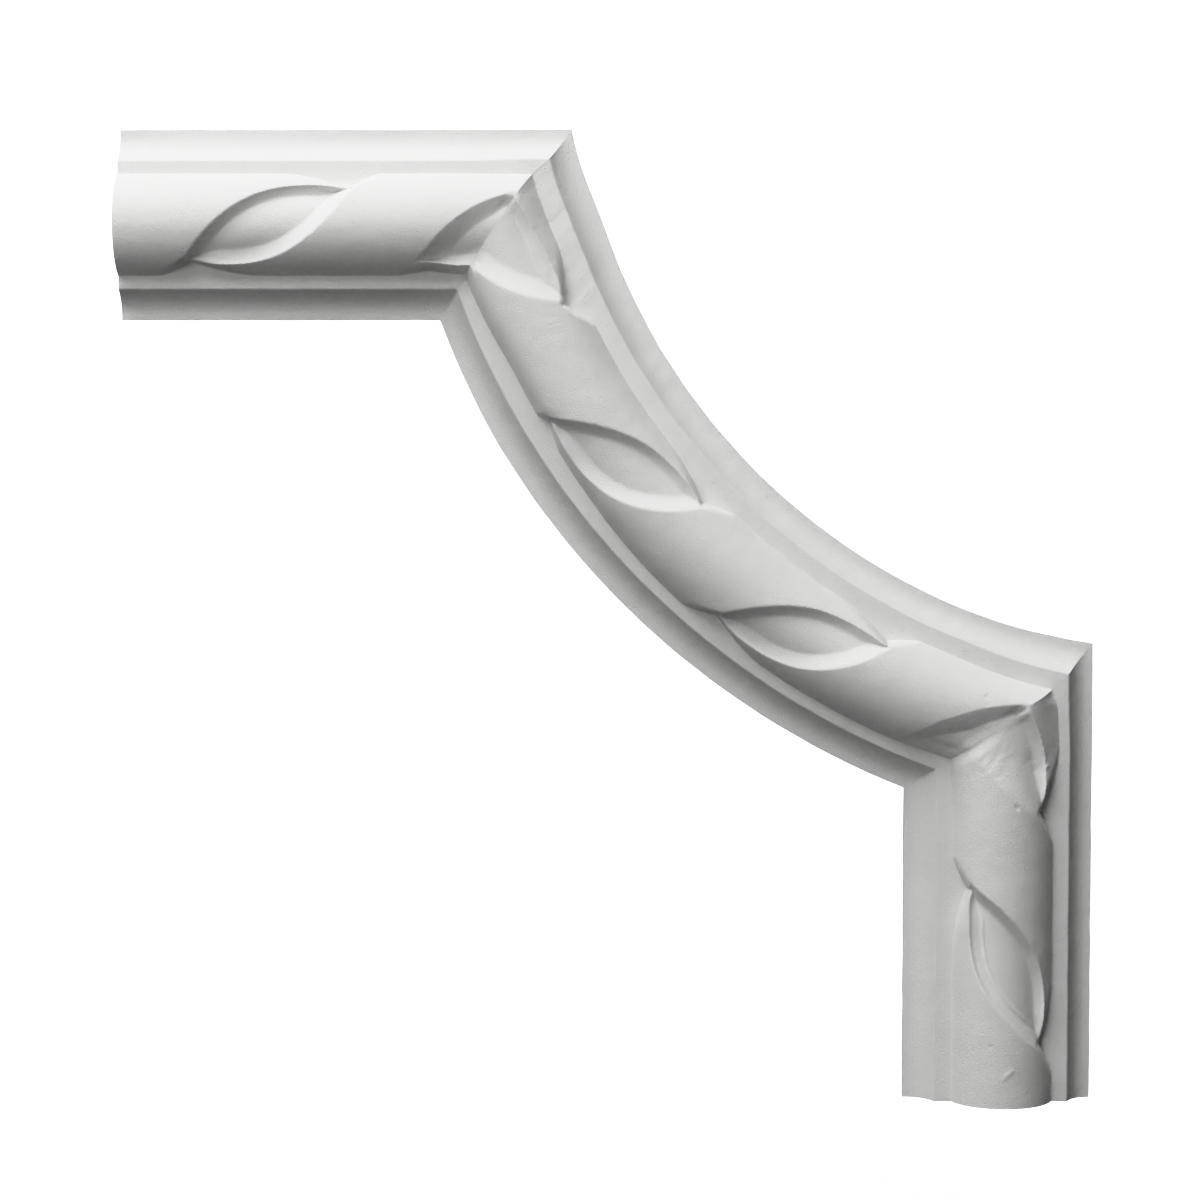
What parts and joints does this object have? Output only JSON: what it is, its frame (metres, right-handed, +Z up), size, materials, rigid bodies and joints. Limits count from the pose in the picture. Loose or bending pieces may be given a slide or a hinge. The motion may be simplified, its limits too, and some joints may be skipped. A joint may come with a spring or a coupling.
{
  "type": "moulding corner piece",
  "caption": "White cast plaster moulding corner: an inward quarter curve between two square-cut arms, with coved edges and a ribbon wound round a half-round roll.",
  "frame": {"origin": "on the flat back, halfway across the curved member, on the diagonal of the corner", "axes": "+X right and +Z up as the piece hangs on the wall; +Y into the wall, so the carved face looks towards -Y"},
  "size_m": [0.3, 0.0203, 0.3],
  "materials": {
    "plaster": "matt white cast plaster with a fine grain"
  },
  "bodies": {
    "root": {"corner_moulding": "plaster"}
  },
  "joints": []
}
